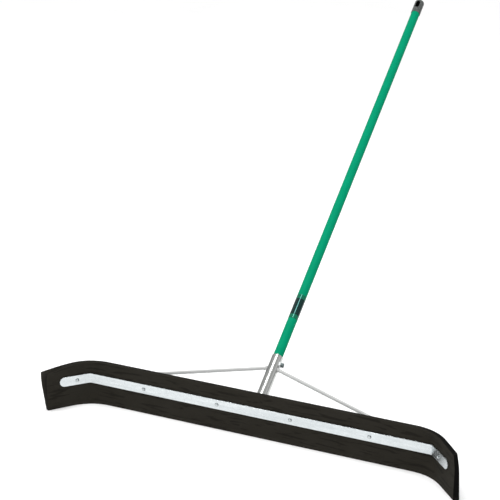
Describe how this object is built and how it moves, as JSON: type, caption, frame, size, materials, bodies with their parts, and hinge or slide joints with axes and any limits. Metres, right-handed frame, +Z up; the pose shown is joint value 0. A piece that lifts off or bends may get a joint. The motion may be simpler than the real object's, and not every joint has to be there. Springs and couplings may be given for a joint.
{
  "type": "floor squeegee",
  "caption": "Curved floor squeegee: a thick rubber blade bolted between bent steel strips, with a rod-braced socket and a long tubular handle with a hanging cap.",
  "frame": {"origin": "middle of the blade's floor edge", "axes": "+X along the blade to the right, -Y the way the wings point, +Y the side the handle leaves, +Z up"},
  "size_m": [0.9148, 1.1465, 0.6966],
  "materials": {
    "rubber": "matt moulded black rubber",
    "strip_steel": "bright zinc plate",
    "socket_steel": "zinc-plated tube",
    "rod_steel": "zinc-plated rod",
    "fastener_steel": "zinc plate",
    "screw_steel": "dark plated steel",
    "green_coat": "glossy green coating",
    "cap_plastic": "moulded black plastic",
    "label_film": "glossy bare black film"
  },
  "bodies": {
    "head": {"rubber_blade": "rubber", "front_strip": "strip_steel", "back_strip": "strip_steel", "bolt_left_wing": "fastener_steel", "bolt_left_outer": "fastener_steel", "bolt_left_inner": "fastener_steel", "bolt_right_inner": "fastener_steel", "bolt_right_outer": "fastener_steel", "bolt_right_wing": "fastener_steel", "washer_left_wing": "fastener_steel", "washer_left_outer": "fastener_steel", "washer_left_inner": "fastener_steel", "washer_right_inner": "fastener_steel", "washer_right_outer": "fastener_steel", "washer_right_wing": "fastener_steel", "nut_left_wing": "fastener_steel", "nut_left_outer": "fastener_steel", "nut_left_inner": "fastener_steel", "nut_right_inner": "fastener_steel", "nut_right_outer": "fastener_steel", "nut_right_wing": "fastener_steel", "socket_foot": "socket_steel", "socket_tube": "socket_steel", "brace_rod_left": "rod_steel", "brace_rod_right": "rod_steel", "clamp_nut": "fastener_steel"},
    "handle": {"handle_tube": "green_coat", "handle_cap": "cap_plastic", "label_band": "label_film"},
    "screw": {"clamp_screw": "screw_steel"}
  },
  "joints": [
    {"name": "handle_slide", "type": "slide", "parent": "head", "child": "handle", "axis": [0, 0.8572, 0.515], "range_m": [-0.0175, 0.11]},
    {"name": "screw_turn", "type": "hinge", "parent": "head", "child": "screw", "pos_m": [0, 0.10975, 0.11579], "axis": [1, 0, 0], "range_deg": [0, 360]}
  ]
}
